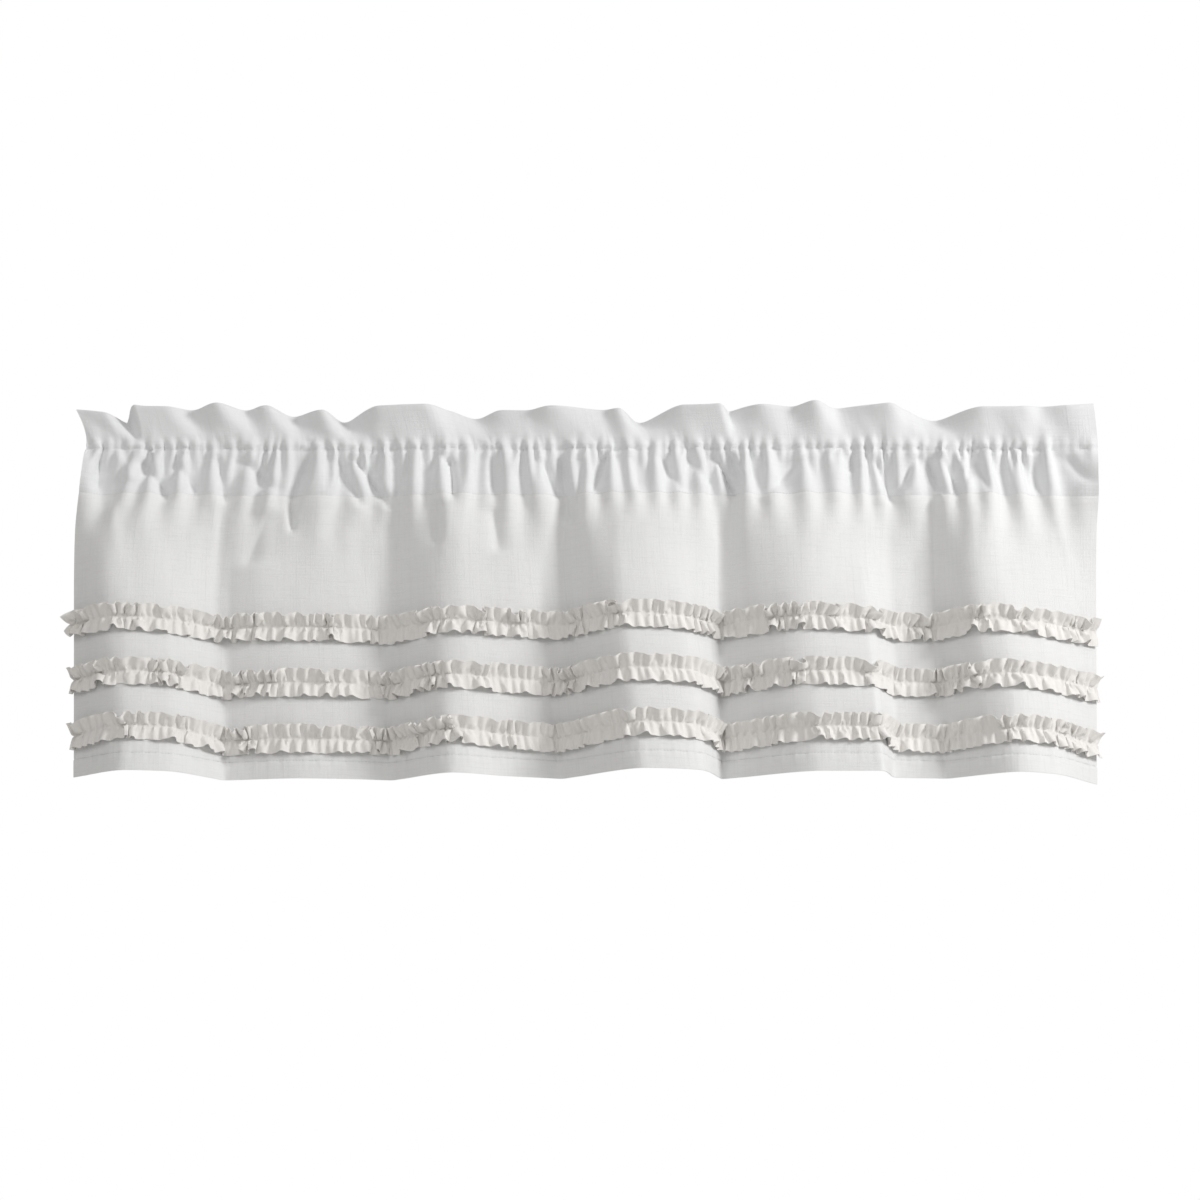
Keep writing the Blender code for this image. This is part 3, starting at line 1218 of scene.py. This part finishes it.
@dataclass
class Ruffle:
    """One gathered strip, stitched down along its middle with both edges free.

    While it is worked out, its points are distance along the body, stand-off and rise.
    """

    shape: Valance
    strip: Strip
    settling: Settling
    cut_length: float = 1.75
    half_width: float = 14.6
    overhang: float = -1.5
    line_points: int = 1400
    columns: int = 1001
    rows: int = 13
    fine_rows: int = 25
    room_most: float = 1.3
    room_drop: float = 0.95
    room_columns: int = 16
    room_reach: int = 6
    pinch: float = 7.0
    pinch_range: tuple[float, float] = (0.5, 1.5)
    pinch_spare: int = 30
    pinch_height: tuple[float, float] = (0.25, 0.8)
    lobe: float = 5.5
    lobe_reach: tuple[int, int] = (10, 3)
    edge_hold: float = 0.03
    lift: float = 0.12
    lift_least: float = -24.0
    leans: tuple[float, float] = (32.0, 15.0)
    lean_start: float = 3.0
    stand_off: float = 0.75
    press: float = 2.0
    thickness: float = 0.5

    def build(self, finish: LinenFinish) -> bpy.types.Object:
        """Make the strip.

        Args:
            finish: The strip's finish.

        Returns:
            The finished piece.
        """
        level = self.strip.level
        line = np.linspace(0, 1, self.line_points)
        run = length_along(*self.shape.body(line, np.array([level]))[0, :, :2].T)
        points = self._lean_out(self._gather(run[-1]))
        for row in points:
            along, out, rise = row.T.copy()
            body = self.shape.body(line, np.array([level + rise.mean()]))
            place, turn = self._on_body(run, body, along)
            forward = place[:, 1]
            row[:] = place + out[:, None] * turn
            row[:, 2] = level + rise
            row[:, 2] += self.lift * np.maximum(forward - forward.mean(), self.lift_least)
        drop = np.linspace(self.half_width, -self.half_width, len(points))
        node = f"ruffle_{self.strip.name.lower()}"
        maker = ClothMesh(self.thickness, self.cut_length)
        piece = maker.build(f"{node}_cloth", points, drop)
        dress(piece, finish.make())
        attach(piece, "root")
        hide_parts(node)
        return piece

    def _gather(self, length: float) -> Array:
        """Draw the flat strip up along its stitches and let both halves settle.

        Args:
            length: The body's length along the strip.

        Returns:
            The gathered strip, square to its stitches.
        """
        random = np.random.default_rng(self.strip.seed)
        shares = np.linspace(0, 1, self.columns)
        part = np.linspace(1, -1, self.rows)[:, None]
        reach = np.abs(part)
        room = random.uniform(0, 1, self.columns // self.room_columns + 1)
        room = np.repeat(self.room_most - self.room_drop * room**2, self.room_columns)
        along = soften(room[None, : self.columns], self.room_reach)[0].cumsum()
        along = (along - along[0]) / (along[-1] - along[0])
        along = along * (length + 2 * self.overhang) - self.overhang
        count = int(length / self.pinch) + self.pinch_spare
        ends = np.cumsum(random.uniform(*self.pinch_range, count) * self.pinch)
        ends -= self.overhang + self.pinch
        size = random.uniform(*self.pinch_height, count)[np.searchsorted(ends, along)]
        turn = np.interp(along, ends, 2 * math.pi * np.arange(count))
        loose = random.normal(size=(2, self.rows, self.columns))
        loose = soften(loose, self.lobe_reach[0])
        loose = np.moveaxis(soften(np.moveaxis(loose, 1, -1), self.lobe_reach[1]), -1, 1)
        loose *= reach * self.lobe / loose.std()
        out = size * (1 + np.cos(turn)) * (1 - reach**2) + loose[0]
        rise = part * self.half_width
        middle = length / 2 + (shares - 0.5) * self.cut_length / MM
        hold = np.where(reach < 0.5 / self.rows, 1.0, self.edge_hold * reach)
        hold = np.broadcast_to(hold, out.shape)
        return self.settling.run(cloth(along + loose[1], out, rise), cloth(middle, 0.0, rise), hold)

    def _lean_out(self, points: Array) -> Array:
        """Lean both halves away from the body, and keep them in front of it.

        Args:
            points: The gathered strip, square to its stitches.

        Returns:
            The strip, in more rows.
        """
        places = np.linspace(0, 1, self.rows)
        at = np.linspace(0, 1, self.fine_rows)
        fine = np.apply_along_axis(lambda values: pass_through(places, values, at), 0, points)
        along, out, rise = np.moveaxis(fine, -1, 0)
        away = np.abs(rise)
        lean = np.radians(np.where(rise > 0, *self.leans))
        stands = out * np.cos(lean) + away * np.sin(lean)
        near = self.stand_off + self.press
        pressed = near - self.press + self.press * np.exp(np.minimum(stands / self.press, 1) - 1)
        out_now = np.where(stands < self.press, pressed, stands + self.stand_off)
        free = np.minimum(away / self.lean_start, 1)
        rise = np.sign(rise) * (away * np.cos(lean) - out * np.sin(lean) * free)
        return cloth(along, out_now, rise)

    @staticmethod
    def _on_body(run: Array, body: Array, where: Array) -> tuple[Array, Array]:
        """Points on the body's cloth at distances along it, and its outward directions there.

        Args:
            run: The cloth's length at each of its points.
            body: One row of the body's points.
            where: The distances to read, which may pass both ends.

        Returns:
            The points, and a direction for each.
        """
        inside = np.clip(where, run[0], run[-1])
        place, turn = (
            np.stack([np.interp(inside, run, part) for part in row.T], axis=-1)
            for row in (body[0], outward(body, 12)[0])
        )
        place[:, 0] += where - inside
        return place, turn


@dataclass
class Stitches:
    """Lines of machine stitches, as one piece of many small threads."""

    shape: Valance
    front: Front
    length: float = 2.3
    pitch: float = 3.1
    thread: float = 0.42
    sides: int = 6
    half_step: float = 0.8
    raised: float = 0.3
    hem_raised: float = 0.1
    hem_points: int = 900
    seam_lifts: tuple[float, float] = (-0.6, 0.5)

    def template(self) -> tuple[Array, Array]:
        """One stitch, a short thread with its ends closed.

        Returns:
            Its points, in millimetres, and its three-cornered faces.
        """
        bpy.ops.object.select_all(action="DESELECT")
        bpy.ops.mesh.primitive_cylinder_add(
            vertices=self.sides, radius=1, depth=2, end_fill_type="TRIFAN"
        )
        stitch = bpy.context.object
        bpy.ops.object.mode_set(mode="EDIT")
        bpy.ops.mesh.select_all(action="SELECT")
        bpy.ops.transform.rotate(value=math.pi / 2, orient_axis="Y", center_override=(0, 0, 0))
        bpy.ops.object.mode_set(mode="OBJECT")
        points = np.array([vertex.co for vertex in stitch.data.vertices])
        points[:, 0] *= self.length / 2
        points[:, 1:] *= self.thread / 2
        stitch.data.calc_loop_triangles()
        faces = np.array([tri.vertices for tri in stitch.data.loop_triangles])
        bpy.data.objects.remove(stitch)
        return points, faces

    def build(self, name: str, lines: list[Array], finish: PlainFinish) -> bpy.types.Object:
        """Lay stitches along lines.

        Args:
            name: The piece's name.
            lines: Each line's points.
            finish: The thread's finish.

        Returns:
            The finished piece.
        """
        points, faces = self.template()
        all_points, all_faces = [], []
        for line in lines:
            run = length_along(*line.T)
            line = line * (1, -1, 1)
            for middle in np.arange(self.pitch, run[-1] - self.pitch, self.pitch):
                start, end = (
                    np.array([np.interp(middle + step, run, part) for part in line.T])
                    for step in (-self.half_step, self.half_step)
                )
                along = (end - start) / np.linalg.norm(end - start)
                side = np.cross(along, [0, 0, 1])
                side /= np.linalg.norm(side)
                up = np.cross(side, along)
                placed = (start + end) / 2 + points @ np.array([along, side, up])
                all_faces.append(faces + len(points) * len(all_points))
                all_points.append(placed * MM)
        mesh = bpy.data.meshes.new(name)
        vertices, corners = (np.concatenate(part).tolist() for part in (all_points, all_faces))
        mesh.from_pydata(vertices, [], corners)
        mesh.shade_smooth()
        piece = bpy.data.objects.new(name, mesh)
        bpy.context.scene.collection.objects.link(piece)
        dress(piece, finish.make())
        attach(piece, "root")
        return piece

    def seams(self, finish: PlainFinish) -> bpy.types.Object:
        """The two seams of the rod pocket.

        Args:
            finish: The thread's finish.

        Returns:
            The finished piece.
        """
        seams = self.front.pocket[[0, -1]]
        seams = seams + self.raised * outward(seams, 3)
        lines = [seam + (0, 0, lift) for seam, lift in zip(seams, self.seam_lifts)]
        return self.build("pocket_stitches", lines, finish)

    def hem(self, finish: PlainFinish) -> bpy.types.Object:
        """The line of stitches that holds the hem.

        Args:
            finish: The thread's finish.

        Returns:
            The finished piece.
        """
        shares = np.linspace(0, 1, self.hem_points)
        line = self.shape.body(shares, np.array([self.shape.hem_stitch]))
        line = line + self.hem_raised * outward(line, 3)
        return self.build("hem_stitches", list(line), finish)


class Lamp(NamedTuple):
    """One soft lamp: where it hangs, its width in metres and its power in watts."""

    name: str
    place: tuple[float, float, float]
    size: float
    power: float


@dataclass
class Studio:
    """The floor, the lights and the camera, in metres."""

    floor_level: float = -2.0
    floor_size: float = 16.0
    floor: PlainFinish = PlainFinish("pale floor", (0.93, 0.93, 0.92), 0.01, 0.7)
    lamps: tuple[Lamp, ...] = (
        Lamp("window light", (2.75, -1.55, 0.9), 0.8, 64),
        Lamp("front fill", (-0.8, -2.8, 1.2), 1.6, 19),
    )
    room_light: float = 0.375
    room_tone: tuple[float, float, float] = (1.0, 0.985, 0.955)
    tilt: float = 11.5
    distance: float = 4.5
    frame_width: float = 1.1316
    sensor_width: float = 36.0
    aim: tuple[float, float, float] = (0.0127, 0.0, -0.1246)

    def lay_floor(self) -> bpy.types.Object:
        """Lay a plain pale floor, far below the valance.

        Returns:
            The floor.
        """
        bpy.ops.object.select_all(action="DESELECT")
        bpy.ops.mesh.primitive_plane_add(size=self.floor_size, location=(0, 0, self.floor_level))
        floor = bpy.context.object
        floor.name = "studio_floor"
        dress(floor, self.floor.make())
        return floor

    def hang_lamp(self, lamp: Lamp) -> None:
        """Hang one lamp that faces the valance.

        Args:
            lamp: The lamp.
        """
        data = bpy.data.lights.new(lamp.name, "AREA")
        data.size = lamp.size
        data.energy = lamp.power
        hung = bpy.data.objects.new(lamp.name, data)
        bpy.context.scene.collection.objects.link(hung)
        hung.location = lamp.place
        away = np.array(lamp.place) - np.array(self.aim)
        down = math.atan2(math.hypot(away[0], away[1]), away[2])
        hung.rotation_euler = (down, 0, math.atan2(away[0], -away[1]))

    def surroundings(self) -> None:
        """Put a plain white room around the valance, a little warm where it lights the cloth."""
        world = bpy.data.worlds.new("white room")
        bpy.context.scene.world = world
        world.use_nodes = True
        tree = world.node_tree
        tree.nodes.clear()
        path, glow, shown, mix, out = (
            tree.nodes.new(kind) for kind in (
                "ShaderNodeLightPath", "ShaderNodeBackground", "ShaderNodeBackground",
                "ShaderNodeMixShader", "ShaderNodeOutputWorld",
            )
        )
        glow.inputs[0].default_value = (*self.room_tone, 1)
        glow.inputs[1].default_value = self.room_light
        shown.inputs[0].default_value = (1, 1, 1, 1)
        tree.links.new(path.outputs["Is Camera Ray"], mix.inputs[0])
        tree.links.new(glow.outputs[0], mix.inputs[1])
        tree.links.new(shown.outputs[0], mix.inputs[2])
        tree.links.new(mix.outputs[0], out.inputs[0])

    def camera(self) -> None:
        """Set the camera at the photograph's angle, a little below the valance."""
        data = bpy.data.cameras.new("camera")
        data.sensor_width = self.sensor_width
        data.lens = self.sensor_width * self.distance / self.frame_width
        data.clip_end = 60
        camera = bpy.data.objects.new("camera", data)
        bpy.context.scene.collection.objects.link(camera)
        tilt = math.radians(self.tilt)
        back = np.array([0.0, math.cos(tilt), math.sin(tilt)]) * self.distance
        camera.location = np.array(self.aim) - back
        camera.rotation_euler = (math.pi / 2 + tilt, 0, 0)
        bpy.context.scene.camera = camera

    def build(self) -> None:
        """Set up the whole studio."""
        self.lay_floor()
        self.surroundings()
        for lamp in self.lamps:
            self.hang_lamp(lamp)
        self.camera()
        bpy.context.scene.view_settings.view_transform = "Standard"


def main() -> None:
    """Build the valance's pieces in order, and report each."""
    logging.basicConfig(level=logging.INFO, format="%(message)s")
    shape = Valance()
    # The heading and the panel are one linen in two tones, cooler and bluer where doubled, warmer
    # where single. The difference between them is painted light: it stands in for the light that
    # shows through the sheer cloth.
    doubled_painted_light = LinenFinish("white linen, doubled", (0.88, 0.885, 0.895), (0.79, 0.795, 0.81))
    single_painted_light = LinenFinish("white linen, single", (0.89, 0.892, 0.893), (0.78, 0.782, 0.778))
    cream = LinenFinish(
        "soft white frill", (0.90, 0.88, 0.86), (0.82, 0.795, 0.77), slub_height=0.08,
        crumple_height=0.3,
    )
    thread = PlainFinish("sewing thread", (0.80, 0.80, 0.80), 0.05, 300)

    front = Hanging(shape, Settling()).hang()
    pieces = [Heading(shape, front).build(doubled_painted_light), Panel(shape, front).build(single_painted_light)]
    light_cloth = Settling(bend=40)
    for strip in Strip:
        pieces.append(Ruffle(shape, strip, light_cloth).build(cream))
    stitches = Stitches(shape, front)
    pieces += [stitches.seams(thread), stitches.hem(thread)]
    Studio().build()
    for piece in pieces:
        log.info("%s: %d faces", piece.name, len(piece.data.polygons))
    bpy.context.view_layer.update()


if __name__ == "__main__":
    main()
